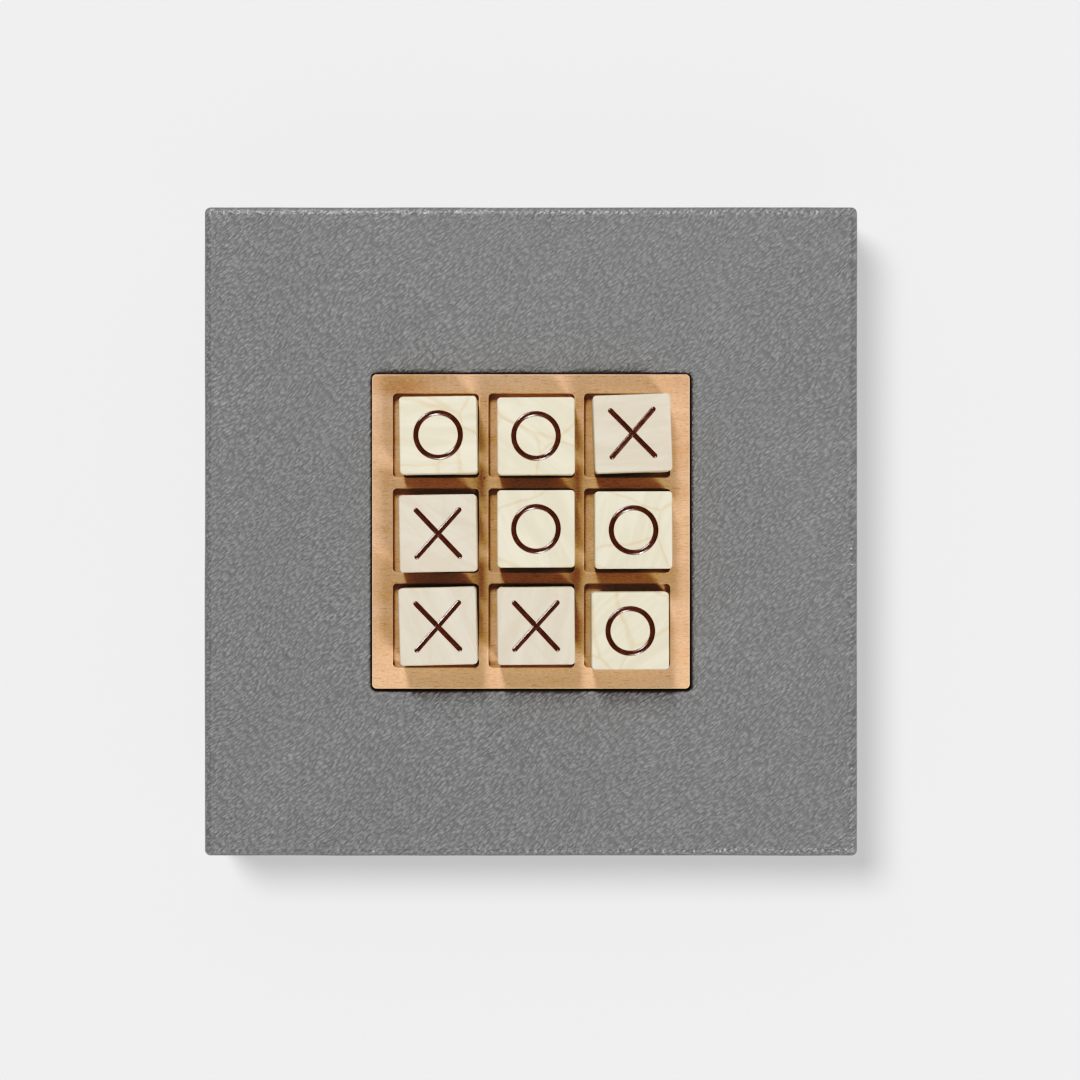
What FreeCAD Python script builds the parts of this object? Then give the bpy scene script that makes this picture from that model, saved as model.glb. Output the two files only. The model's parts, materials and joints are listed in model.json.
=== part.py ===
import FreeCAD, Part
import Sketcher
import os
import re
from FreeCAD import Placement, Rotation, Vector

# Tic tac toe set: a leather-covered board with a square window, a beech tray standing in
# the window, whose grid makes nine square pockets, and nine blocks in the pockets.
# Millimetres, +Z up, +Y towards the back of the board. The origin is the centre of the
# underside, so the board rests on the plane z = 0.

# Driving dimensions: alias, value, what it is.
DIMENSIONS = (
    ("board_width", 215.7, "leather-covered board, left to right"),
    ("board_depth", 214.4, "leather-covered board, front to back"),
    ("leather", 1.2, "thickness of the leather"),
    ("edge_round", 1.2, "rounding of the leather along the board's edges"),
    ("corner_round", 1.5, "rounding of the board's upright corners"),
    ("base_felt", 1.0, "thickness of the felt under the base"),
    ("base_felt_margin", 4.0, "strip of leather left showing round the felt"),
    ("turn_in", 15.0, "leather turned in under the base"),
    ("base_thick", 9.0, "fibreboard base"),
    ("rail_thick", 18.0, "fibreboard rails round the window"),
    ("recess_felt", 1.0, "felt pad under the tray"),
    ("tray_width", 104.7, "tray, left to right"),
    ("tray_depth", 103.6, "tray, front to back"),
    ("tray_floor_thick", 15.8, "floor of the tray"),
    ("tray_gap", 0.95, "gap between the tray and the leather"),
    ("tray_corner", 1.5, "rounding of the tray's upright corners"),
    ("tray_edge", 0.4, "rounding of the tray's top edges and of the pockets' rims"),
    ("pocket_width", 28.3, "pocket, left to right"),
    ("pocket_height", 27.6, "pocket, front to back"),
    ("pocket_pitch_x", 31.5, "pocket to pocket, left to right"),
    ("pocket_pitch_y", 31.3, "pocket to pocket, front to back"),
    ("pocket_depth", 3.2, "pocket, rim to floor, which is the grid's thickness"),
    ("pocket_corner", 1.3, "rounding of the pockets' upright corners, left by the cutter"),
    ("grid_shift_x", 0.2, "the pockets sit this far right of the tray's middle"),
    ("grid_shift_y", 0.3, "the pockets sit this far behind the tray's middle"),
    ("block_side", 25.0, "block, each side"),
    ("block_tall", 17.2, "block, bottom to top"),
    ("block_corner", 1.2, "rounding of the block's upright edges"),
    ("block_edge", 0.5, "rounding of the block's top and bottom edges"),
    ("groove_width", 1.7, "engraved groove, made by a ball-nosed cutter"),
    ("ring_radius", 7.2, "ring, to the middle of its groove"),
    ("cross_half_x", 6.9, "cross, from its middle to a stroke's end, left to right"),
    ("cross_half_y", 7.5, "cross, from its middle to a stroke's end, front to back"),
    ("paint_below", 0.25, "the paint's surface lies this far below the block's top"),
)
PER_ROW = 3

# How the blocks stand in the pockets, from the back row to the front and from left to
# right: mark, offset to the right, offset to the back (mm) and turn (degrees, seen from
# above). The player has pushed most of them against the pocket's right side.
LAYOUT = (
    ("o", 1.4, -0.5, 0.8),
    ("o", 1.5, -0.8, 0.3),
    ("x", 1.2, 0.1, 2.0),
    ("x", 1.35, -0.95, 0.95),
    ("o", 1.5, 0.5, 0.2),
    ("o", 1.5, 0.1, 0.2),
    ("x", 1.3, 0.3, 1.45),
    ("x", 1.5, 0.4, 0.45),
    ("o", 0.45, -1.15, 0.25),
)

# Tolerances for picking edges: millimetres, and the least Z share of an upright edge.
SAME_HEIGHT = 0.001
UPRIGHT_SHARE = 0.999
EDGE_SLACK = 0.1


def sized(formula):
    """A formula in the aliases of the sheet, as FreeCAD's expressions name them."""
    return re.sub(r"\b[a-z]\w*", r"Sizes.\g<0>", formula)


def bind(feature, **formulas):
    """Binds properties to formulas; a double underscore stands for a dot."""
    for name, formula in formulas.items():
        feature.setExpression(name.replace("__", "."), sized(formula))


def make_sheet(doc):
    """The spreadsheet with the driving dimensions, one per row."""
    sheet = doc.addObject("Spreadsheet::Sheet", "Sizes")
    for row, (alias, value, words) in enumerate(DIMENSIONS, start=1):
        sheet.set(f"A{row}", words)
        sheet.set(f"B{row}", str(value))
        sheet.setAlias(f"B{row}", alias)
    doc.recompute()
    return sheet


def make_body(doc, label):
    body = doc.addObject("PartDesign::Body", label)
    body.Label = label
    return body


def add_sketch(body, name, x="0", y="0", z="0"):
    """An empty sketch parallel to the body's XY plane, moved to x, y, z."""
    sketch = body.newObject("Sketcher::SketchObject", name)
    plane = next(f for f in body.Origin.OriginFeatures if f.Role == "XY_Plane")
    sketch.AttachmentSupport = [(plane, "")]
    sketch.MapMode = "FlatFace"
    bind(
        sketch,
        AttachmentOffset__Base__x=x,
        AttachmentOffset__Base__y=y,
        AttachmentOffset__Base__z=z,
    )
    return sketch


def add_trapezium(sketch, name, near, far, deep, start="0"):
    """Four lines, symmetric about the sketch's Y axis: near is the width at y = start,
    far the width at y = start + deep. The dimensions are named and bound."""
    corners = [Vector(-2, -1, 0), Vector(2, -1, 0), Vector(1, 1, 0), Vector(-1, 1, 0)]
    first = sketch.GeometryCount
    for i in range(4):
        line = Part.LineSegment(corners[i], corners[(i + 1) % 4])
        sketch.addGeometry(line, False)
    near_line, right_line, far_line, left_line = range(first, first + 4)
    for i in range(4):
        a, b = first + i, first + (i + 1) % 4
        sketch.addConstraint(Sketcher.Constraint("Coincident", a, 2, b, 1))
    sketch.addConstraint(Sketcher.Constraint("Symmetric", near_line, 1, near_line, 2, -2))
    sketch.addConstraint(Sketcher.Constraint("Symmetric", far_line, 1, far_line, 2, -2))
    sizes = {
        "near": (Sketcher.Constraint("DistanceX", near_line, 1, near_line, 2, 4.0), near),
        "far": (Sketcher.Constraint("DistanceX", far_line, 2, far_line, 1, 2.0), far),
        "deep": (Sketcher.Constraint("DistanceY", right_line, 1, right_line, 2, 2.0), deep),
        "start": (Sketcher.Constraint("DistanceY", -1, 1, near_line, 1, -1.0), start),
    }
    for key, (constraint, formula) in sizes.items():
        index = sketch.addConstraint(constraint)
        sketch.renameConstraint(index, f"{name}_{key}")
        sketch.setExpression(f"Constraints.{name}_{key}", sized(formula))


def add_rectangle(sketch, name, width, deep):
    """A rectangle centred on the sketch's origin."""
    add_trapezium(sketch, name, width, width, deep, start=f"-({deep}) / 2")


def add_pad(body, name, sketch, length):
    pad = body.newObject("PartDesign::Pad", name)
    pad.Profile = sketch
    bind(pad, Length=length)
    body.Document.recompute()
    return pad


def add_pocket(body, name, sketch, length, upwards):
    """Cuts from the sketch's plane, upwards or downwards, and checks that it cut."""
    before = body.Shape.Volume
    pocket = body.newObject("PartDesign::Pocket", name)
    pocket.Profile = sketch
    pocket.Reversed = upwards
    bind(pocket, Length=length)
    body.Document.recompute()
    if body.Shape.Volume >= before:
        raise RuntimeError(f"{name} cuts nothing")
    return pocket


def upright(edge):
    """True for a straight edge parallel to Z."""
    if not isinstance(edge.Curve, Part.Line):
        return False
    return abs(edge.Curve.Direction.z) > UPRIGHT_SHARE


def level(edge, height):
    """True for an edge that lies in the plane z = height."""
    box = edge.BoundBox
    return max(abs(box.ZMin - height), abs(box.ZMax - height)) < SAME_HEIGHT


def within(edge, half_x, half_y):
    """True for an edge inside the upright box that reaches half_x and half_y from Z."""
    box = edge.BoundBox
    inside_x = max(abs(box.XMin), abs(box.XMax)) < half_x + EDGE_SLACK
    return inside_x and max(abs(box.YMin), abs(box.YMax)) < half_y + EDGE_SLACK


def add_fillet(body, name, radius, chosen):
    """Rounds the edges of the body's last feature for which chosen(edge) is true."""
    base = body.Tip
    names = [f"Edge{i}" for i, edge in enumerate(base.Shape.Edges, start=1) if chosen(edge)]
    fillet = body.newObject("PartDesign::Fillet", name)
    fillet.Base = (base, names)
    bind(fillet, Radius=radius)
    body.Document.recompute()
    return fillet


def make_panel(doc, label, width, deep, thick, height):
    """A plain rectangular sheet whose underside is at the given height."""
    body = make_body(doc, label)
    outline = add_sketch(body, f"{label}_outline", z=height)
    add_rectangle(outline, "outline", width, deep)
    add_pad(body, f"{label}_sheet", outline, thick)
    return body


def make_base_board(doc):
    """The fibreboard base, rebated underneath for the leather's turned-in edge."""
    width = "board_width - 2 * leather"
    deep = "board_depth - 2 * leather"
    body = make_panel(doc, "base_board", width, deep, "base_thick", "base_felt")
    rebate = add_sketch(body, "rebate_outline", z="base_felt + leather")
    add_rectangle(rebate, "edge", width, deep)
    add_rectangle(rebate, "middle", "board_width - 2 * turn_in", "board_depth - 2 * turn_in")
    add_pocket(body, "rebate", rebate, "leather", upwards=False)
    return body


def make_rail(doc, label, outer, inner, wide, out_x, out_y, turn):
    """One mitred rail of the frame round the window, its outer face at out_x, out_y."""
    body = make_body(doc, label)
    outline = add_sketch(body, f"{label}_outline")
    add_trapezium(outline, "rail", outer, inner, wide)
    add_pad(body, f"{label}_rail", outline, "rail_thick")
    body.Placement = Placement(Vector(0, 0, 0), Rotation(Vector(0, 0, 1), turn))
    bind(
        body,
        Placement__Base__x=out_x,
        Placement__Base__y=out_y,
        Placement__Base__z="base_felt + base_thick",
    )
    return body


def make_rails(doc):
    """The four rails between the base and the leather on top."""
    outer_x, outer_y = "(board_width - 2 * leather)", "(board_depth - 2 * leather)"
    inner_x = "(tray_width + 2 * tray_gap + 2 * leather)"
    inner_y = "(tray_depth + 2 * tray_gap + 2 * leather)"
    wide_x, wide_y = f"({outer_x} - {inner_x}) / 2", f"({outer_y} - {inner_y}) / 2"
    half_x, half_y = f"{outer_x} / 2", f"{outer_y} / 2"
    return [
        make_rail(doc, "rail_front", outer_x, inner_x, wide_y, "0", f"-{half_y}", 0),
        make_rail(doc, "rail_right", outer_y, inner_y, wide_x, half_x, "0", 90),
        make_rail(doc, "rail_back", outer_x, inner_x, wide_y, "0", half_y, 180),
        make_rail(doc, "rail_left", outer_y, inner_y, wide_x, f"-{half_x}", "0", 270),
    ]


def make_leather_cover(doc, sheet):
    """The leather skin: a rounded box, less the window, the rails, the base and the
    opening that the felt under the base closes."""
    top = "base_felt + base_thick + rail_thick + leather"
    rails_foot = "base_felt + base_thick"
    body = make_body(doc, "leather_cover")
    outline = add_sketch(body, "skin_outline", z="base_felt")
    add_rectangle(outline, "skin", "board_width", "board_depth")
    add_pad(body, "skin", outline, f"{top} - base_felt")
    add_fillet(body, "upright_corners", "corner_round", upright)
    foot = sheet.base_felt
    head = foot + sheet.base_thick + sheet.rail_thick + sheet.leather
    add_fillet(
        body, "rolled_edges", "edge_round", lambda e: level(e, head) or level(e, foot)
    )

    window_x, window_y = "tray_width + 2 * tray_gap", "tray_depth + 2 * tray_gap"
    window = add_sketch(body, "window_outline", z=rails_foot)
    add_rectangle(window, "window", window_x, window_y)
    add_pocket(body, "window", window, "rail_thick + leather", upwards=True)
    half_x = (sheet.tray_width + 2 * sheet.tray_gap) / 2
    half_y = (sheet.tray_depth + 2 * sheet.tray_gap) / 2

    def on_window(edge):
        return within(edge, half_x, half_y)

    add_fillet(
        body, "window_corners", "corner_round", lambda e: on_window(e) and upright(e)
    )
    add_fillet(
        body, "window_edge", "edge_round", lambda e: on_window(e) and level(e, head)
    )

    core_x, core_y = "board_width - 2 * leather", "board_depth - 2 * leather"
    rails = add_sketch(body, "rails_outline", z=rails_foot)
    add_rectangle(rails, "outside", core_x, core_y)
    add_rectangle(rails, "inside", f"{window_x} + 2 * leather", f"{window_y} + 2 * leather")
    add_pocket(body, "rails_space", rails, "rail_thick", upwards=True)
    base = add_sketch(body, "base_outline", z=rails_foot)
    add_rectangle(base, "base", core_x, core_y)
    add_pocket(body, "base_space", base, "base_thick - leather", upwards=False)
    opening = add_sketch(body, "opening_outline", z="base_felt + leather")
    add_rectangle(opening, "opening", "board_width - 2 * turn_in", "board_depth - 2 * turn_in")
    add_pocket(body, "base_opening", opening, "leather", upwards=False)
    return body


def make_tray_floor(doc):
    """The floor of the tray, which stands on the felt in the recess."""
    foot = "base_felt + base_thick + recess_felt"
    body = make_panel(
        doc, "tray_floor", "tray_width", "tray_depth", "tray_floor_thick", foot
    )
    add_fillet(body, "floor_corners", "tray_corner", upright)
    return body


def make_tray_grid(doc, sheet):
    """The grid glued to the tray's floor: one board with nine square holes cut through."""
    foot = "base_felt + base_thick + recess_felt + tray_floor_thick"
    body = make_panel(doc, "tray_grid", "tray_width", "tray_depth", "pocket_depth", foot)
    add_fillet(body, "grid_corners", "tray_corner", upright)
    blank = body.Shape.Volume
    hole = add_sketch(
        body,
        "hole_outline",
        x="grid_shift_x - pocket_pitch_x",
        y="grid_shift_y - pocket_pitch_y",
        z=foot,
    )
    add_rectangle(hole, "hole", "pocket_width", "pocket_height")
    first = add_pocket(body, "first_hole", hole, "pocket_depth", upwards=True)
    one_hole = blank - body.Shape.Volume

    holes = body.newObject("PartDesign::LinearPattern", "holes")
    holes.Originals = [first]
    x_axis = next(f for f in body.Origin.OriginFeatures if f.Role == "X_Axis")
    y_axis = next(f for f in body.Origin.OriginFeatures if f.Role == "Y_Axis")
    holes.Direction = (x_axis, [""])
    holes.Direction2 = (y_axis, [""])
    holes.Mode = "Spacing"
    holes.Mode2 = "Spacing"
    bind(holes, Offset="pocket_pitch_x", Offset2="pocket_pitch_y")
    doc.recompute()
    holes.Occurrences = PER_ROW
    holes.Occurrences2 = PER_ROW
    body.Tip = holes
    doc.recompute()
    cut = (blank - body.Shape.Volume) / one_hole
    if round(cut, 3) != PER_ROW**2:
        raise RuntimeError(f"the grid has {cut:.3f} holes")

    inner_x = sheet.tray_width / 2 - sheet.tray_corner
    inner_y = sheet.tray_depth / 2 - sheet.tray_corner
    rim = sheet.base_felt + sheet.base_thick + sheet.recess_felt
    rim += sheet.tray_floor_thick + sheet.pocket_depth

    def in_hole(edge):
        return upright(edge) and within(edge, inner_x, inner_y)

    add_fillet(body, "pocket_corners", "pocket_corner", in_hole)
    add_fillet(body, "rims", "tray_edge", lambda e: level(e, rim))
    return body


def make_ring_cutter(doc, label):
    """The path of the ball-nosed cutter round a ring."""
    ring = doc.addObject("Part::Torus", f"{label}_cut")
    bind(ring, Radius1="ring_radius", Radius2="groove_width / 2")
    bind(ring, Placement__Base__z="block_tall")
    return ring


def make_cross_cutter(doc, label, sheet):
    """The path of the ball-nosed cutter along the two strokes of a cross."""
    reach = Vector(sheet.cross_half_x, sheet.cross_half_y, 0)
    pieces = []
    for number, side in enumerate((1, -1)):
        end = Vector(reach.x * side, reach.y, 0)
        stroke = doc.addObject("Part::Cylinder", f"{label}_stroke_{number}")
        bind(stroke, Radius="groove_width / 2")
        bind(stroke, Height="2 * (cross_half_x ^ 2 + cross_half_y ^ 2) ^ 0.5")
        lengthways = Rotation(Vector(0, 0, 1), end)
        stroke.Placement = Placement(-end, lengthways)
        pieces.append(stroke)
        for tip_number, tip in enumerate((end, -end)):
            ball = doc.addObject("Part::Sphere", f"{label}_end_{number}{tip_number}")
            bind(ball, Radius="groove_width / 2")
            ball.Placement = Placement(tip, lengthways)
            pieces.append(ball)
    for piece in pieces:
        bind(piece, Placement__Base__z="block_tall")
    cross = doc.addObject("Part::MultiFuse", f"{label}_cut")
    cross.Shapes = pieces
    return cross


def make_block(doc, label, cutter):
    """One playing block: a square prism with rounded edges and an engraved mark."""
    blank = make_body(doc, f"{label}_blank")
    outline = add_sketch(blank, f"{label}_outline")
    add_rectangle(outline, "block", "block_side", "block_side")
    add_pad(blank, f"{label}_prism", outline, "block_tall")
    add_fillet(blank, f"{label}_corners", "block_corner", upright)
    add_fillet(blank, f"{label}_edges", "block_edge", lambda e: not upright(e))
    block = doc.addObject("Part::Cut", label)
    block.Base = blank
    block.Tool = cutter
    return block


def make_mark(doc, label, cutter):
    """The paint that fills the lower part of a groove."""
    level_box = doc.addObject("Part::Box", f"{label}_fill")
    bind(level_box, Length="block_side", Width="block_side", Height="groove_width")
    bind(
        level_box,
        Placement__Base__x="-block_side / 2",
        Placement__Base__y="-block_side / 2",
        Placement__Base__z="block_tall - paint_below - groove_width",
    )
    paint = doc.addObject("Part::Common", label)
    paint.Base = cutter
    paint.Tool = level_box
    return paint


def make_pieces(doc, sheet):
    """The nine blocks with their paint, each standing in its own pocket."""
    floor = sheet.base_felt + sheet.base_thick + sheet.recess_felt
    floor += sheet.tray_floor_thick
    count = {"o": 0, "x": 0}
    pieces = []
    for place, (mark, right, back, turn) in enumerate(LAYOUT):
        count[mark] += 1
        row, column = divmod(place, PER_ROW)
        x = (column - 1) * sheet.pocket_pitch_x + sheet.grid_shift_x + right
        y = (1 - row) * sheet.pocket_pitch_y + sheet.grid_shift_y + back
        stands = Placement(Vector(x, y, floor), Rotation(Vector(0, 0, 1), turn))
        name = f"{mark}_block_{count[mark]}"
        if mark == "o":
            cutter = make_ring_cutter(doc, name)
        else:
            cutter = make_cross_cutter(doc, name, sheet)
        block = make_block(doc, name, cutter)
        paint = make_mark(doc, f"{mark}_mark_{count[mark]}", cutter)
        for piece in (block, paint):
            piece.Label = piece.Name
            piece.Placement = stands
            pieces.append(piece)
    return pieces


def write_parts(doc, parts):
    """Checks every object and shape, then writes one STEP file for each sub-part."""
    doc.recompute()
    for item in doc.Objects:
        if {"Invalid", "Error"} & set(item.State):
            raise RuntimeError(f"{item.Label} failed: {item.State}")
    for part in parts:
        if part.Shape.isNull() or not part.Shape.isValid():
            raise RuntimeError(f"{part.Label} has no valid shape")
    os.makedirs("parts", exist_ok=True)
    for part in parts:
        part.Shape.exportStep(f"parts/{part.Label}.step")
        print(part.Label, round(part.Shape.Volume), "mm3", len(part.Shape.Solids), "solid")


def main():
    doc = FreeCAD.newDocument("tic_tac_toe_set")
    sheet = make_sheet(doc)
    felt_width = "board_width - 2 * base_felt_margin"
    felt_deep = "board_depth - 2 * base_felt_margin"
    recess = ("tray_width", "tray_depth", "recess_felt", "base_felt + base_thick")
    parts = [
        make_panel(doc, "base_lining", felt_width, felt_deep, "base_felt", "0"),
        make_base_board(doc),
        *make_rails(doc),
        make_leather_cover(doc, sheet),
        make_panel(doc, "recess_lining", *recess),
        make_tray_floor(doc),
        make_tray_grid(doc, sheet),
        *make_pieces(doc, sheet),
    ]
    write_parts(doc, parts)


main()
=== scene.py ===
"""The looks of the tic tac toe set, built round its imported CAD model. Lengths are in metres."""

import json
import math

import bpy
from mathutils import Matrix, Vector, noise

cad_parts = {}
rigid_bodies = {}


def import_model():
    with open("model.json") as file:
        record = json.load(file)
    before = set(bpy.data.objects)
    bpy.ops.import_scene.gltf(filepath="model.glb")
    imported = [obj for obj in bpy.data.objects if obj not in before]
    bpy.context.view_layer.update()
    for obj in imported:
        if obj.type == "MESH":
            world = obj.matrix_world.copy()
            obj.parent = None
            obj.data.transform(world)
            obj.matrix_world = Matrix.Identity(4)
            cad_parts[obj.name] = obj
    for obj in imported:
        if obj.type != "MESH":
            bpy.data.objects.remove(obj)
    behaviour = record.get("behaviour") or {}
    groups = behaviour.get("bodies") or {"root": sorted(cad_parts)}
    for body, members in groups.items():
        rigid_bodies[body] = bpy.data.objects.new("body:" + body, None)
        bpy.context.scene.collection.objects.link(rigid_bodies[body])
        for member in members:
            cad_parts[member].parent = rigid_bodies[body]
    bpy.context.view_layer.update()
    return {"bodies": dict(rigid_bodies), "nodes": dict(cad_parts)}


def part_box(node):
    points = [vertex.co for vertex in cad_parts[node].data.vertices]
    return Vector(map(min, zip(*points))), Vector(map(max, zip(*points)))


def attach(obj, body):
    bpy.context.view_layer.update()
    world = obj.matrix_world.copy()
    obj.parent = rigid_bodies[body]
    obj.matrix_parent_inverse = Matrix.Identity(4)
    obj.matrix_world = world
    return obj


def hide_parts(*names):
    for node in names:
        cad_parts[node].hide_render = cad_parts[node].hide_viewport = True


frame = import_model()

MM = 0.001
BLOCKS = sorted(name for name in frame["bodies"] if "_block_" in name)
STREAK = (-18.8, 47.6, 30.0)
PIN_KNOT = (-15.3, 17.6, 30.0)


# ---------------------------------------------------------------- shader node helpers


class Nodes:
    """Short ways to add nodes to a tree. A value may be a number or a socket."""

    def __init__(self, tree):
        self.tree = tree

    def put(self, socket, value):
        if isinstance(value, bpy.types.NodeSocket):
            self.tree.links.new(value, socket)
        else:
            socket.default_value = value

    def add(self, kind, inputs=None, **settings):
        node = self.tree.nodes.new(f"ShaderNode{kind}")
        for key, value in settings.items():
            setattr(node, key, value)
        for key, value in (inputs or {}).items():
            self.put(node.inputs[key], value)
        return node

    def math(self, operation, a, b=0.0):
        return self.add("Math", {0: a, 1: b}, operation=operation).outputs[0]

    def remap(self, value, low, high, to_low=0.0, to_high=1.0):
        """A smooth step from low to high."""
        inputs = {
            "Value": value,
            "From Min": low,
            "From Max": high,
            "To Min": to_low,
            "To Max": to_high,
        }
        return self.add("MapRange", inputs, interpolation_type="SMOOTHSTEP").outputs[0]


class Shader(Nodes):
    """A material, with short ways to build up its surface."""

    def __init__(self, name):
        self.material = bpy.data.materials.new(name)
        self.material.use_nodes = True
        super().__init__(self.material.node_tree)
        self.surface = self.tree.nodes["Principled BSDF"]

    def mix(self, share, a, b):
        """Colour a, going over to b by this share."""
        node = self.add("Mix", data_type="RGBA")
        self.put(node.inputs["Factor"], share)
        self.put(node.inputs["A"], a)
        self.put(node.inputs["B"], b)
        return node.outputs["Result"]

    def place(self, turn=(0.0, 0.0, 0.0), shift=(0.0, 0.0, 0.0)):
        """Object coordinates in millimetres, turned (degrees) and shifted."""
        inputs = {
            "Vector": self.add("TexCoord").outputs["Object"],
            "Location": shift,
            "Rotation": [math.radians(a) for a in turn],
            "Scale": [1 / MM] * 3,
        }
        return self.add("Mapping", inputs).outputs[0]

    def facing(self):
        """The axes of the face's own direction."""
        normal = self.add("TexCoord").outputs["Normal"]
        return self.add("SeparateXYZ", {"Vector": normal}).outputs

    def scaled(self, vector, scale, turn=0.0):
        """The vector scaled, then turned about Z (degrees)."""
        inputs = {"Vector": vector, "Scale": scale, "Rotation": (0, 0, math.radians(turn))}
        return self.add("Mapping", inputs).outputs[0]

    def noise(self, vector, scale, detail=3.0, rough=0.5, distort=0.0):
        inputs = {
            "Vector": vector,
            "Scale": scale,
            "Detail": detail,
            "Roughness": rough,
            "Distortion": distort,
        }
        return self.add("TexNoise", inputs)

    def warped(self, vector, scale, amount):
        """The vector, pushed about by a slow noise, by up to half the amount."""
        push = self.noise(vector, scale, 2.0).outputs["Color"]
        centred = self.add(
            "VectorMath", {0: push, 1: (0.5, 0.5, 0.5)}, operation="SUBTRACT"
        ).outputs[0]
        scaled = self.add(
            "VectorMath", {0: centred, "Scale": amount}, operation="SCALE"
        ).outputs[0]
        return self.add("VectorMath", {0: vector, 1: scaled}, operation="ADD").outputs[0]

    def near(self, vector, centre, reach):
        """1 at the centre, fading to 0 this far from it."""
        away = self.add("VectorMath", {0: vector, 1: centre}, operation="DISTANCE")
        return self.remap(away.outputs["Value"], reach, 0.0)

    def bump(self, height, distance, under=None):
        inputs = {"Height": height, "Distance": distance, "Strength": 1.0}
        if under is not None:
            inputs["Normal"] = under
        return self.add("Bump", inputs).outputs[0]

    def finish(self, colour, roughness, normal=None, **constants):
        self.put(self.surface.inputs["Base Color"], colour)
        self.put(self.surface.inputs["Roughness"], roughness)
        if normal is not None:
            self.put(self.surface.inputs["Normal"], normal)
        for key, value in constants.items():
            self.surface.inputs[key.replace("_", " ")].default_value = value
        return self.material


def srgb(red, green, blue):
    """A linear colour from display values of 0 to 255."""
    linear = []
    for value in (red, green, blue):
        share = value / 255
        linear.append(share / 12.92 if value < 11 else ((share + 0.055) / 1.055) ** 2.4)
    return (*linear, 1.0)


# ---------------------------------------------------------------- materials


LEATHER_TURN = -40
RIM_WIDE = 3.2
RIM_FULL = 2.2
LEATHER_RELIEF = 0.55 * MM
MIDDLE_HEIGHT = 0.93


def leather(edges):
    """Grey pebbled leather: small domes and fine wrinkles, drawn out along the hide. The domes'
    tops are painted paler: partly their wear, partly a painted highlight. Along the board's
    edges it is burnished smooth, with small puckers, and painted darker down the side, a
    painted shade. The grain's two axes take in the height as well, so that it runs on down
    the sides."""
    s = Shader("leather")
    here = s.place()
    axes = s.add("SeparateXYZ", {"Vector": here}).outputs
    drop = s.add("CombineXYZ", {0: axes["Z"], 1: axes["Z"]}).outputs[0]
    unrolled = s.add("VectorMath", {0: here, 1: drop}, operation="ADD").outputs[0]
    along = s.warped(s.scaled(unrolled, (1.0, 1.0, 1.0), LEATHER_TURN), 0.02, 8.0)
    drawn = s.scaled(along, (0.42, 1.05, 0.3))
    uneven = s.warped(drawn, 0.9, 0.6)
    scatter = {"Vector": uneven, "Scale": 1.1, "Randomness": 0.75}
    grains = s.add("TexVoronoi", scatter, voronoi_dimensions="2D")
    dome = s.remap(grains.outputs["Distance"], 0.72, 0.0)
    size = s.add("SeparateColor", {"Color": grains.outputs["Color"]}).outputs[0]
    pebbles = s.math("MULTIPLY", dome, s.remap(size, 0.0, 1.0, 0.7, 1.0))
    streaks = s.noise(s.scaled(along, (0.6, 2.1, 0.3)), 1.0, 2.0, 0.5).outputs["Fac"]
    crossing = s.noise(s.scaled(along, (2.0, 1.3, 0.3)), 1.0, 2.0, 0.5).outputs["Fac"]
    wrinkles = s.math("ADD", streaks, s.math("MULTIPLY", crossing, 0.35))
    height = s.math("ADD", wrinkles, s.math("MULTIPLY", pebbles, 0.4))
    cloud = s.noise(here, 0.02, 2.0).outputs["Fac"]
    low = s.mix(s.remap(cloud, 0.3, 0.7), srgb(111, 111, 111), srgb(113, 113, 113))
    # Painted highlight, partly wear too: the domes' tops are painted paler.
    colour = s.mix(s.remap(height, 0.62, 1.4), low, srgb(166, 166, 167))
    across, deep = (s.math("ABSOLUTE", axes[name]) for name in "XY")
    half_x, half_y = edges.x / MM, edges.y / MM
    rim_x = s.remap(across, half_x - RIM_WIDE, half_x - RIM_FULL)
    rim_y = s.remap(deep, half_y - RIM_WIDE, half_y - RIM_FULL)
    burnished = s.math("MAXIMUM", rim_x, rim_y)
    # Painted shade: the rim's faces that turn down the side are painted darker.
    side = s.math("MULTIPLY", burnished, s.remap(s.facing()["Z"], 0.93, 0.6))
    colour = s.mix(s.math("MULTIPLY", side, 0.5), colour, srgb(92, 92, 92))
    rubbed = s.remap(burnished, 0.0, 1.0, 0.42, 0.27)
    gloss = s.math("MINIMUM", s.remap(height, 0.56, 1.38, 0.42, 0.3), rubbed)
    grainy = s.math("SUBTRACT", height, MIDDLE_HEIGHT)
    puckers = s.math("SUBTRACT", s.noise(here, 0.8, 1.0).outputs["Fac"], 0.5)
    flattened = s.math("MULTIPLY", grainy, s.remap(burnished, 0.0, 1.0, 1.0, 0.12))
    raised = s.math("MULTIPLY", puckers, s.remap(burnished, 0.0, 1.0, 0.0, 0.7))
    normal = s.bump(s.math("ADD", flattened, raised), LEATHER_RELIEF)
    return s.finish(colour, gloss, normal, Specular_IOR_Level=0.5)


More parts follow.
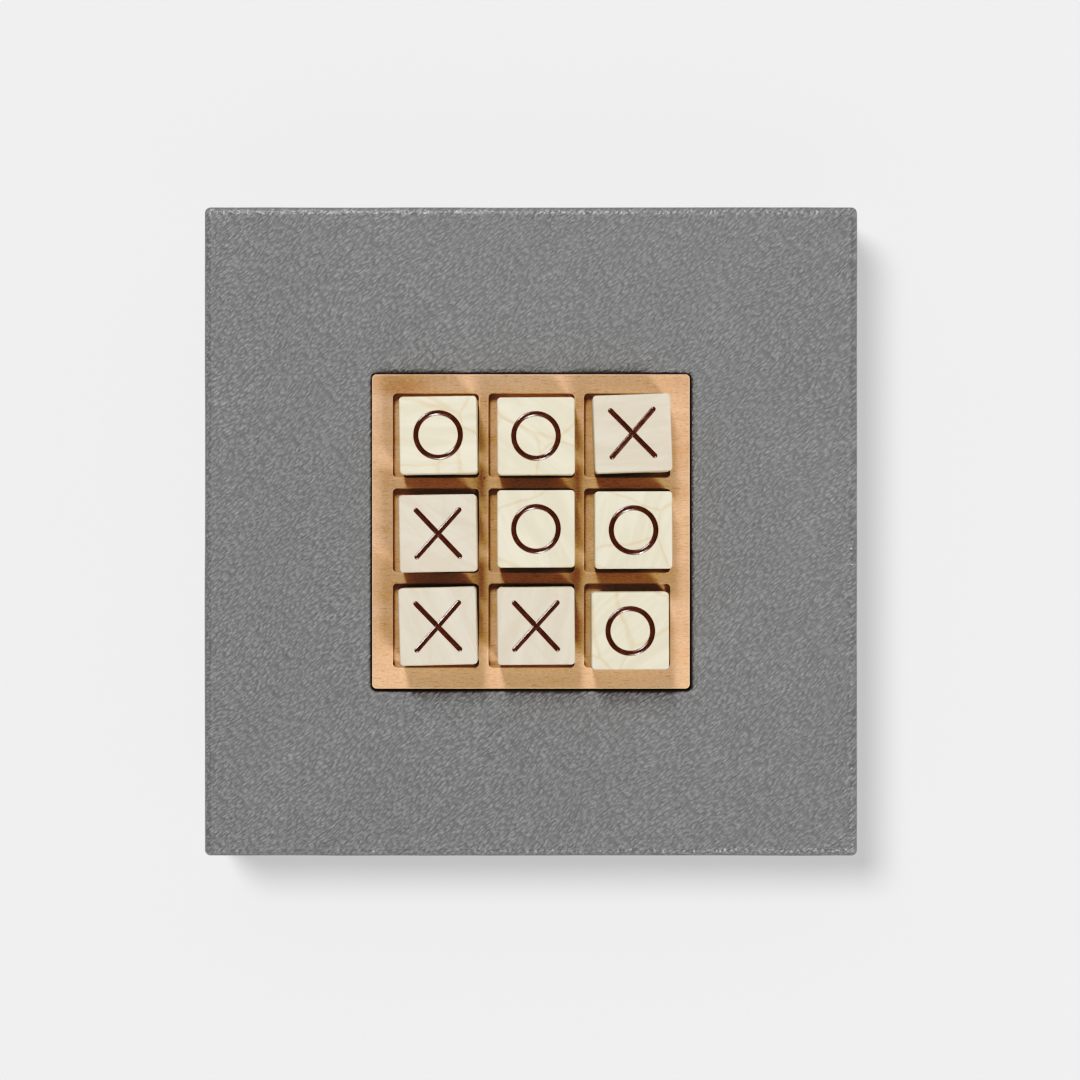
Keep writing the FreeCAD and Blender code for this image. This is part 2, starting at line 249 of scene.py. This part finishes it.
def beech(name, shift):
    """Oiled beech: slow bands along X, the wood's short dark flecks, one reddish streak and
    one pin knot, and paler towards the front. Its walls are painted dark brown, a painted
    shade, and its rounded edges painted paler, a painted highlight, most on those along Y."""
    s = Shader(name)
    here = s.place(shift=shift)
    wavy = s.warped(here, 0.05, 6.0)
    bands = s.noise(s.scaled(wavy, (0.014, 0.13, 0.1)), 1.0, 4.0, 0.6).outputs["Fac"]
    colour = s.mix(s.remap(bands, 0.3, 0.7), srgb(214, 166, 121), srgb(230, 188, 148))
    forward = s.add("SeparateXYZ", {"Vector": here}).outputs["Y"]
    colour = s.mix(s.remap(forward, -30.0, -46.0, 0.0, 0.55), colour, srgb(246, 200, 152))
    tilted = s.warped(s.scaled(here, (0.3, 2.3, 1.0)), 0.4, 0.5)
    fleck_noise = s.noise(tilted, 1.0, 2.0, 0.5).outputs["Fac"]
    flecks = s.remap(fleck_noise, 0.56, 0.7)
    colour = s.mix(s.math("MULTIPLY", flecks, 0.45), colour, srgb(160, 100, 60))
    mottle = s.noise(s.scaled(here, (0.9, 2.4, 1.5)), 1.0, 3.0, 0.65).outputs["Fac"]
    colour = s.mix(s.remap(mottle, 0.48, 0.7, 0.0, 0.3), colour, srgb(178, 118, 74))
    colour = s.mix(s.remap(mottle, 0.5, 0.3, 0.0, 0.3), colour, srgb(252, 220, 184))
    pores = s.noise(s.scaled(here, (0.7, 6.5, 4.0)), 1.0, 2.0, 0.6).outputs["Fac"]
    colour = s.mix(s.remap(pores, 0.6, 0.78, 0.0, 0.3), colour, srgb(158, 104, 62))
    colour = s.mix(s.remap(pores, 0.42, 0.26, 0.0, 0.25), colour, srgb(240, 204, 168))
    streak = s.near(s.scaled(wavy, (0.45, 1.0, 1.0)), STREAK, 6.0)
    rusty = s.math("MULTIPLY", streak, s.remap(pores, 0.4, 0.65, 0.25, 0.85))
    colour = s.mix(rusty, colour, srgb(176, 92, 52))
    colour = s.mix(s.near(here, PIN_KNOT, 0.55), colour, srgb(96, 54, 30))
    facing = s.facing()
    level = facing["Z"]
    # Painted shade: faces that turn to the side, the walls, are painted dark brown.
    colour = s.mix(s.remap(level, 0.3, 0.0, 0.0, 0.7), colour, srgb(122, 72, 38))
    # Painted highlight: the rounded edges are painted paler, most on those along Y.
    rounded = s.math("MULTIPLY", s.remap(level, 0.999, 0.9), s.remap(level, 0.05, 0.4))
    edge_highlight = s.remap(s.math("ABSOLUTE", facing["X"]), 0.0, 0.3, 0.25, 0.75)
    colour = s.mix(s.math("MULTIPLY", rounded, edge_highlight), colour, srgb(252, 222, 184))
    grain = s.math("SUBTRACT", bands, s.math("MULTIPLY", flecks, 0.3))
    normal = s.bump(grain, 0.05 * MM, s.bump(pores, 0.03 * MM))
    roughness = s.remap(fleck_noise, 0.4, 0.7, 0.42, 0.55)
    return s.finish(colour, roughness, normal, Specular_IOR_Level=0.4)


O_TONES = (srgb(237, 231, 210), srgb(218, 207, 178), srgb(222, 200, 158))
X_TONES = (srgb(229, 221, 203), srgb(211, 197, 173), srgb(222, 210, 188))


def pale_wood(name, light, dark, flame, shift, turn):
    """Close-grained pale hardwood with a faint figure and thin flame lines that meet at an
    angle, one cut per block."""
    s = Shader(name)
    here = s.place(shift=shift, turn=turn)
    bent = s.warped(here, 0.06, 5.0)
    figure = s.noise(s.scaled(bent, (0.03, 0.22, 0.22)), 1.0, 5.0, 0.6, 0.6)
    flames = s.add(
        "TexVoronoi", {"Vector": bent, "Scale": 0.045}, feature="DISTANCE_TO_EDGE"
    ).outputs["Distance"]
    narrow = s.remap(flames, 0.035, 0.0)
    colour = s.mix(s.remap(figure.outputs["Fac"], 0.3, 0.7), light, s.mix(0.5, light, dark))
    colour = s.mix(s.math("MULTIPLY", narrow, figure.outputs["Fac"]), colour, flame)
    pores = s.noise(s.scaled(here, (0.8, 7.0, 7.0)), 1.0, 2.0, 0.6).outputs["Fac"]
    colour = s.mix(s.remap(pores, 0.6, 0.8, 0.0, 0.3), colour, dark)
    normal = s.bump(figure.outputs["Fac"], 0.04 * MM, s.bump(pores, 0.02 * MM))
    return s.finish(colour, 0.5, normal, Specular_IOR_Level=0.35)


def mark_paint():
    """Thick glossy brown paint, a little uneven where it was wiped into the groove."""
    s = Shader("mark_paint")
    here = s.place()
    flow = s.noise(here, 0.5, 3.0).outputs["Fac"]
    colour = s.mix(s.remap(flow, 0.3, 0.7), srgb(84, 41, 11), srgb(97, 53, 20))
    normal = s.bump(flow, 0.06 * MM)
    roughness = s.remap(flow, 0.3, 0.7, 0.19, 0.28)
    gloss = {"Specular_IOR_Level": 0.7, "Coat_Weight": 0.4, "Coat_Roughness": 0.2}
    return s.finish(colour, roughness, normal, **gloss)


def felt():
    """Dark pressed felt: matted fibres and a soft nap."""
    s = Shader("lining_felt")
    here = s.place()
    fibres = s.noise(s.warped(here, 0.8, 2.5), 3.0, 6.0, 0.75, 1.2).outputs["Fac"]
    colour = s.mix(s.remap(fibres, 0.3, 0.7), srgb(38, 38, 40), srgb(66, 66, 70))
    normal = s.bump(fibres, 0.25 * MM)
    return s.finish(colour, 0.95, normal, Sheen_Weight=0.35, Sheen_Roughness=0.5)


def fibreboard():
    """Raw fibreboard: fine brown fibres with paler specks."""
    s = Shader("fibreboard")
    here = s.place()
    fibres = s.noise(here, 2.2, 6.0, 0.8).outputs["Fac"]
    colour = s.mix(s.remap(fibres, 0.3, 0.7), srgb(150, 116, 82), srgb(186, 152, 112))
    return s.finish(colour, 0.85, s.bump(fibres, 0.08 * MM))


# ---------------------------------------------------------------- mesh helpers


def make_piece(name, vertices, faces, material, body, slot, *replaced):
    """A smooth mesh piece that rides on a body and stands for CAD nodes."""
    mesh = bpy.data.meshes.new(name)
    mesh.from_pydata(vertices, [], faces)
    mesh.validate()
    mesh.shade_smooth()
    mesh.materials.append(material)
    piece = bpy.data.objects.new(name, mesh)
    bpy.context.scene.collection.objects.link(piece)
    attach(piece, body)
    if replaced:
        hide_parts(*replaced)
    return piece


def rounded_rectangle(half_x, half_y, radius, per_side, per_corner):
    """Points round a rectangle with arcs at its corners, anticlockwise from front left."""
    points = []
    corners = ((-1, -1, 180), (1, -1, 270), (1, 1, 0), (-1, 1, 90))
    for number, (sx, sy, start) in enumerate(corners):
        centre = Vector((sx * (half_x - radius), sy * (half_y - radius)))
        for i in range(per_corner + 1):
            angle = math.radians(start + 90 * i / per_corner)
            points.append(centre + radius * Vector((math.cos(angle), math.sin(angle))))
        nx, ny, _ = corners[(number + 1) % 4]
        following = Vector((nx * (half_x - radius), ny * (half_y - radius)))
        side = following - centre
        for i in range(1, per_side):
            points.append(points[-i] + side * i / per_side)
    return points


def loft(loops, closed):
    """Vertices and faces of a surface through loops of equally many points."""
    count = len(loops[0])
    vertices = [point for loop in loops for point in loop]
    faces = []
    rings = len(loops)
    for ring in range(rings if closed else rings - 1):
        upper = (ring + 1) % rings
        for i in range(count):
            j = (i + 1) % count
            faces.append(
                (ring * count + i, ring * count + j, upper * count + j, upper * count + i)
            )
    return vertices, faces


# ---------------------------------------------------------------- the leather cover

LEATHER_THICK = 1.2 * MM
EDGE_ROUND = 1.8 * MM
EDGE_REACH = 2.8 * MM
CORNER_ROUND = 2.0 * MM
TURN_IN = 15.0 * MM
TRAY_GAP = 0.95 * MM
WINDOW_BULGE = 0.45 * MM
WINDOW_SHIFT = Vector((0.2, -0.2, 0)) * MM
WINDOW_ROLL = 1.4 * MM
WINDOW_DROP = 1.2 * MM
WINDOW_SQUEEZE = 0.25 * MM
SLACK = 0.14 * MM
RIM = 4.0 * MM
ALONG_SIDE = 150
ROUND_CORNER = 10


def quarter(steps):
    """Sideways and upward shares of a quarter turn from a wall onto a flat."""
    for i in range(1, steps + 1):
        angle = math.radians(90 * i / steps)
        yield 1 - math.cos(angle), math.sin(angle)


def leather_outside(low, high, window, foot):
    """The leather's outer face as (half_x, half_y, z, corner radius, squeeze): up the
    window's wall, over the top, down the side and in under the base. Squeeze is how much
    of the window's uneven bulge the face takes there."""
    rows = []

    def from_window(out, z, squeeze):
        rows.append((window[0] + out, window[1] + out, z, CORNER_ROUND + out, squeeze))

    def from_edge(inward, z):
        rows.append((high.x - inward, high.y - inward, z, CORNER_ROUND, 0))

    brow = high.z - WINDOW_DROP
    for i in range(9):
        share = (i / 8) ** 2 * (3 - 2 * i / 8)
        from_window(-WINDOW_BULGE * share, foot + (brow - foot) * i / 8, share)
    for sideways, up in quarter(10):
        out = WINDOW_ROLL * sideways - WINDOW_BULGE
        from_window(out, brow + WINDOW_DROP * up, 1 - sideways)
    reach = WINDOW_ROLL - WINDOW_BULGE
    for i in range(1, 30):
        share = i / 30
        half_x = window[0] + reach + (high.x - window[0] - reach - RIM) * share
        half_y = window[1] + reach + (high.y - window[1] - reach - RIM) * share
        rows.append((half_x, half_y, high.z, CORNER_ROUND + (1 - share) * reach, 0))
    for i in range(4):
        from_edge(RIM + (EDGE_REACH - RIM) * i / 4, high.z)
    for sideways, up in reversed([(0, 0), *quarter(18)]):
        from_edge(EDGE_REACH * sideways, high.z - EDGE_ROUND * (1 - up))
    for i in range(1, 20):
        from_edge(0, high.z - EDGE_ROUND - (high.z - low.z - 2 * EDGE_ROUND) * i / 20)
    for sideways, up in ((0, 0), *quarter(6)):
        from_edge(EDGE_ROUND * sideways, low.z + EDGE_ROUND * (1 - up))
    for i in range(1, 6):
        from_edge(EDGE_ROUND + (TURN_IN - EDGE_ROUND) * i / 5, low.z)
    return rows


def leather_inside(low, high, window, foot):
    """The glued face, from the turned-in end back up to the foot of the window's wall."""
    t = LEATHER_THICK
    sharp = 0.5 * MM
    return [
        (high.x - TURN_IN, high.y - TURN_IN, low.z + t, CORNER_ROUND),
        (high.x - t, high.y - t, low.z + t, sharp),
        (high.x - t, high.y - t, high.z - t, sharp),
        (window[0] + t, window[1] + t, high.z - t, sharp),
        (window[0] + t, window[1] + t, foot, sharp),
    ]


def slack(point):
    """How far the skin lies under its true face: glued leather is never quite flat."""
    slow = noise.noise(point * 24) + 0.4 * noise.noise(point * 90 + Vector((7, 3, 1)))
    return SLACK * min(1, max(0, 0.5 + slow))


def leather_loop(row, before, after, back):
    """One loop of the skin. It is let in by its slack, square to the face there. Its bulge
    into the window grows towards the back, and sits a little to the right and front."""
    half_x, half_y, z, corner, squeeze = row
    outline = rounded_rectangle(half_x, half_y, corner, ALONG_SIDE, ROUND_CORNER)
    face = Vector((before[2] - after[2], after[0] - before[0])).normalized()
    loop = []
    for i, p in enumerate(outline):
        run = (outline[(i + 1) % len(outline)] - outline[i - 1]).normalized()
        outward = Vector((run.y, -run.x, 0))
        share = min(1, max(0, 0.5 + 0.5 * p.y / back))
        bulge = WINDOW_SHIFT - outward * share * WINDOW_SQUEEZE
        point = Vector((p.x, p.y, z)) + bulge * squeeze
        square = outward * face[0] + Vector((0, 0, face[1]))
        loop.append(point - square * slack(point))
    return loop


def make_leather_cover():
    low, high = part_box("leather_cover")
    tray_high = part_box("tray_floor")[1]
    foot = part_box("recess_lining")[0].z
    window = (tray_high.x + TRAY_GAP, tray_high.y + TRAY_GAP)
    outside = leather_outside(low, high, window, foot)
    last = len(outside) - 1
    loops = []
    for i, row in enumerate(outside):
        before, after = outside[max(i - 1, 0)], outside[min(i + 1, last)]
        loops.append(leather_loop(row, before, after, window[1]))
    for half_x, half_y, z, corner in leather_inside(low, high, window, foot):
        outline = rounded_rectangle(half_x, half_y, corner, ALONG_SIDE, ROUND_CORNER)
        loops.append([Vector((p.x, p.y, z)) for p in outline])
    vertices, faces = loft(loops, closed=True)
    return make_piece(
        "leather_skin", vertices, faces, leather(high), "board", "leather", "leather_cover"
    )


# ---------------------------------------------------------------- the painted marks

RING_RADIUS = 7.2 * MM
CROSS_REACH = (6.9 * MM, 7.5 * MM)
STROKE = 1.7 * MM
PAINT_CURVE = 1.6 * MM
PAINT_DEEP = 0.6 * MM
RIM_BELOW = 0.03 * MM
UNDERLAP = 0.004 * MM


def sag(across):
    """How far the paint has sunk below its rim, this far from the groove's middle."""
    half = STROKE / 2
    reach = min(abs(across), half)
    return math.sqrt(PAINT_CURVE**2 - reach**2) - math.sqrt(PAINT_CURVE**2 - half**2)


def paint_section(steps=14):
    """The paint's section as (across, depth) over its sunken face and back beneath."""
    half = STROKE / 2
    places = [-half + 2 * half * i / steps for i in range(steps + 1)]
    top = [(across, sag(across)) for across in places]
    return top + [(half * share, PAINT_DEEP) for share in (0.8, 0.0, -0.8)]


def ring_paint(rim, steps=120):
    loops = []
    for i in range(steps):
        angle = 2 * math.pi * i / steps
        out = Vector((math.cos(angle), math.sin(angle), 0))
        up = Vector((0, 0, 1))
        loops.append([out * (RING_RADIUS + x) + up * (rim - z) for x, z in paint_section()])
    return loft(loops, closed=True)


def stroke_paint(start, end, rim, other, under=0.0, steps=110, cap_steps=8):
    """A straight stroke with round ends. Where it runs through the other stroke, the
    lower of the two faces counts."""
    half = STROKE / 2
    along = (end - start).normalized()
    side = Vector((-along.y, along.x, 0))
    turns = [math.radians(90 * (i + 0.12) / cap_steps) for i in range(cap_steps)]
    places = [(start - along * half * math.cos(a), math.sin(a)) for a in turns]
    places += [(start + (end - start) * i / steps, 1.0) for i in range(steps + 1)]
    places += [(end + along * half * math.cos(a), math.sin(a)) for a in reversed(turns)]
    loops = []
    for middle, width in places:
        beyond = half * math.sqrt(1 - width**2)
        loop = []
        for x, z in paint_section():
            here = middle + side * x * width
            if z < PAINT_DEEP:
                own = sag(math.hypot(x * width, beyond))
                crossing = sag(here.x * other.y - here.y * other.x)
                z = max(own, crossing) + under
            loop.append(here + Vector((0, 0, rim - z)))
        loops.append(loop)
    vertices, faces = loft(loops, closed=False)
    count = len(loops[0])
    faces.append(tuple(range(count)))
    faces.append(tuple(reversed(range(len(vertices) - count, len(vertices)))))
    return vertices, faces


def cross_paint(rim):
    """Two closed strokes, laid through each other."""
    x, y = CROSS_REACH
    up = Vector((x, y, 0))
    down = Vector((x, -y, 0))
    rising, faces = stroke_paint(-up, up, rim, down.normalized())
    falling, _ = stroke_paint(-down, down, rim, up.normalized(), UNDERLAP)
    offset = len(rising)
    return rising + falling, faces + [tuple(i + offset for i in face) for face in faces]


def make_mark(block, paint):
    mark = block.replace("block", "mark")
    low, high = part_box(block)
    middle = (low + high) / 2
    rim = high.z - RIM_BELOW
    vertices, faces = ring_paint(rim) if mark.startswith("o") else cross_paint(rim)
    spin = Matrix.Rotation(turn_of(block), 4, "Z")
    vertices = [spin @ v + Vector((middle.x, middle.y, 0)) for v in vertices]
    return make_piece(f"{mark}_paint", vertices, faces, paint, block, "mark_paint", mark)


LONG_EDGE = 18 * MM
MOST_TURN = math.radians(5)


def turn_of(block):
    """A block's turn about Z, in radians, from the long straight edges of its mesh."""
    mesh = frame["nodes"][block].data
    total, weight = 0.0, 0.0
    for edge in mesh.edges:
        a, b = (mesh.vertices[i].co for i in edge.vertices)
        run = b - a
        if abs(run.z) < 1e-6 and run.length > LONG_EDGE:
            angle = math.atan2(run.y, run.x)
            angle = (angle + math.pi / 4) % (math.pi / 2) - math.pi / 4
            if abs(angle) < MOST_TURN:
                total += angle * run.length
                weight += run.length
    return total / weight


# ---------------------------------------------------------------- stage


def make_floor():
    """A pale sweep that glows a little, as a backdrop lit from below does."""
    size = 6.0
    corners = [(-size, -size, 0), (size, -size, 0), (size, size, 0), (-size, size, 0)]
    mesh = bpy.data.meshes.new("floor")
    mesh.from_pydata(corners, [], [(0, 1, 2, 3)])
    s = Shader("floor")
    colour = (0.2, 0.2, 0.2, 1.0)
    glow = {"Emission_Strength": 0.5, "Emission_Color": (1.0, 1.0, 1.0, 1.0)}
    mesh.materials.append(s.finish(colour, 0.9, Specular_IOR_Level=0.0, **glow))
    floor = bpy.data.objects.new("floor", mesh)
    bpy.context.scene.collection.objects.link(floor)
    return floor


def hang(name, lamp, azimuth, from_zenith, distance, receivers):
    """Points a lamp at the origin from a compass direction (0 is +Y, 90 is +X)."""
    a, z = math.radians(azimuth), math.radians(from_zenith)
    towards = Vector((math.sin(a) * math.sin(z), math.cos(a) * math.sin(z), math.cos(z)))
    holder = bpy.data.objects.new(name, lamp)
    holder.location = towards * distance
    holder.rotation_mode = "QUATERNION"
    holder.rotation_quaternion = towards.to_track_quat("Z", "Y")
    bpy.context.scene.collection.objects.link(holder)
    holder.light_linking.receiver_collection = receivers


def add_sun(name, azimuth, from_zenith, strength, soft, receivers):
    """A far, round light that looks this many degrees wide."""
    lamp = bpy.data.lights.new(name, "SUN")
    lamp.energy = strength
    lamp.angle = math.radians(soft)
    hang(name, lamp, azimuth, from_zenith, 1.0, receivers)


def add_window(name, azimuth, from_zenith, watts, wide, tall, receivers):
    """An upright strip of light three metres away."""
    lamp = bpy.data.lights.new(name, "AREA")
    lamp.shape = "RECTANGLE"
    lamp.energy = watts
    lamp.size = wide
    lamp.size_y = tall
    hang(name, lamp, azimuth, from_zenith, 3.0, receivers)


def receivers_of(name, floor, state):
    """A light's receivers: only the floor, or all but the floor."""
    receivers = bpy.data.collections.new(name)
    receivers.objects.link(floor)
    receivers.collection_objects[0].light_linking.link_state = state
    return receivers


def make_lights(floor):
    """A tall narrow window behind, a lamp from the front right, another for the floor's
    shadow, and the room."""
    the_object = receivers_of("lit_object", floor, "EXCLUDE")
    the_floor = receivers_of("lit_floor", floor, "INCLUDE")
    add_window("window", -14, 38, 45.6, 0.4, 1.0, the_object)
    add_sun("front_lamp", 141, 41, 1.4, 14, the_object)
    add_sun("floor_lamp", -45, 33, 5.9, 24, the_floor)
    make_room()


def make_room():
    """A pale room that meets the floor's brightness at the horizon. Higher up its two end
    walls, along Y, stay bright, and its side walls and ceiling are dark."""
    world = bpy.data.worlds.new("studio")
    world.use_nodes = True
    background = world.node_tree.nodes["Background"]
    background.inputs["Color"].default_value = (1.0, 1.0, 1.0, 1.0)
    room = Nodes(world.node_tree)
    looking = room.add("TexCoord").outputs["Generated"]
    looking = room.add("SeparateXYZ", {"Vector": looking}).outputs
    height = looking["Z"]
    ends = room.remap(room.math("ABSOLUTE", looking["Y"]), 0.25, 0.75, -1.0, 1.25)
    higher_up = room.math("MULTIPLY", ends, room.remap(height, 0.3, 0.5))
    walls = room.remap(height, 0.4, 0.9, 0.5, 0.05)
    light = room.math("MULTIPLY", walls, room.math("ADD", higher_up, 1.0))
    horizon = room.remap(height, 0.02, 0.3, 0.37, 0.0)
    room.put(background.inputs["Strength"], room.math("ADD", light, horizon))
    bpy.context.scene.world = world


def make_camera():
    """Straight above the board, a little to the right of and in front of its centre."""
    above_tray = 0.70
    seen_wide = 355.7 * MM
    sensor = 36.0
    camera = bpy.data.cameras.new("camera")
    camera.sensor_width = sensor
    camera.lens = sensor * above_tray / seen_wide
    camera.clip_end = 20.0
    holder = bpy.data.objects.new("camera", camera)
    holder.location = (3.0 * MM, -2.8 * MM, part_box("tray_grid")[1].z + above_tray)
    bpy.context.scene.collection.objects.link(holder)
    bpy.context.scene.camera = holder
    deepen_shadows(bpy.context.scene.view_settings)


DARK_TONES = ((0.01, 0.005), (0.04, 0.014), (0.09, 0.042), (0.14, 0.108), (0.2, 0.192))
KEPT_TONES = (0.3, 0.6)


def deepen_shadows(view):
    """Prints the darkest tones a little deeper, and leaves the rest as they are."""
    view.view_transform = "Standard"
    view.use_curve_mapping = True
    curve = view.curve_mapping.curves[3]
    for tone, printed in (*DARK_TONES, *((tone, tone) for tone in KEPT_TONES)):
        curve.points.new(tone, printed)
    view.curve_mapping.update()


# ---------------------------------------------------------------- build


def dress(node, material):
    """Gives a CAD node a better material."""
    node = frame["nodes"][node]
    if not node.material_slots:
        node.data.materials.append(material)
    for slot in node.material_slots:
        slot.link = "OBJECT"
        slot.material = material


def main():
    make_camera()
    make_lights(make_floor())
    make_leather_cover()
    board = fibreboard()
    for node in ("rail_front", "rail_back", "rail_left", "rail_right", "base_board"):
        dress(node, board)
    lining = felt()
    dress("base_lining", lining)
    dress("recess_lining", lining)
    dress("tray_floor", beech("tray_floor_beech", (31.0, 12.0, 4.0)))
    dress("tray_grid", beech("tray_grid_beech", (0.0, 0.0, 0.0)))
    paint = mark_paint()
    for number, name in enumerate(BLOCKS):
        shift = (37.0 * number, 19.0 * number, 11.0 * number)
        tones = O_TONES if name.startswith("o") else X_TONES
        dress(name, pale_wood(f"{name}_wood", *tones, shift, (0, 0, 35 * number)))
        make_mark(name, paint)


main()
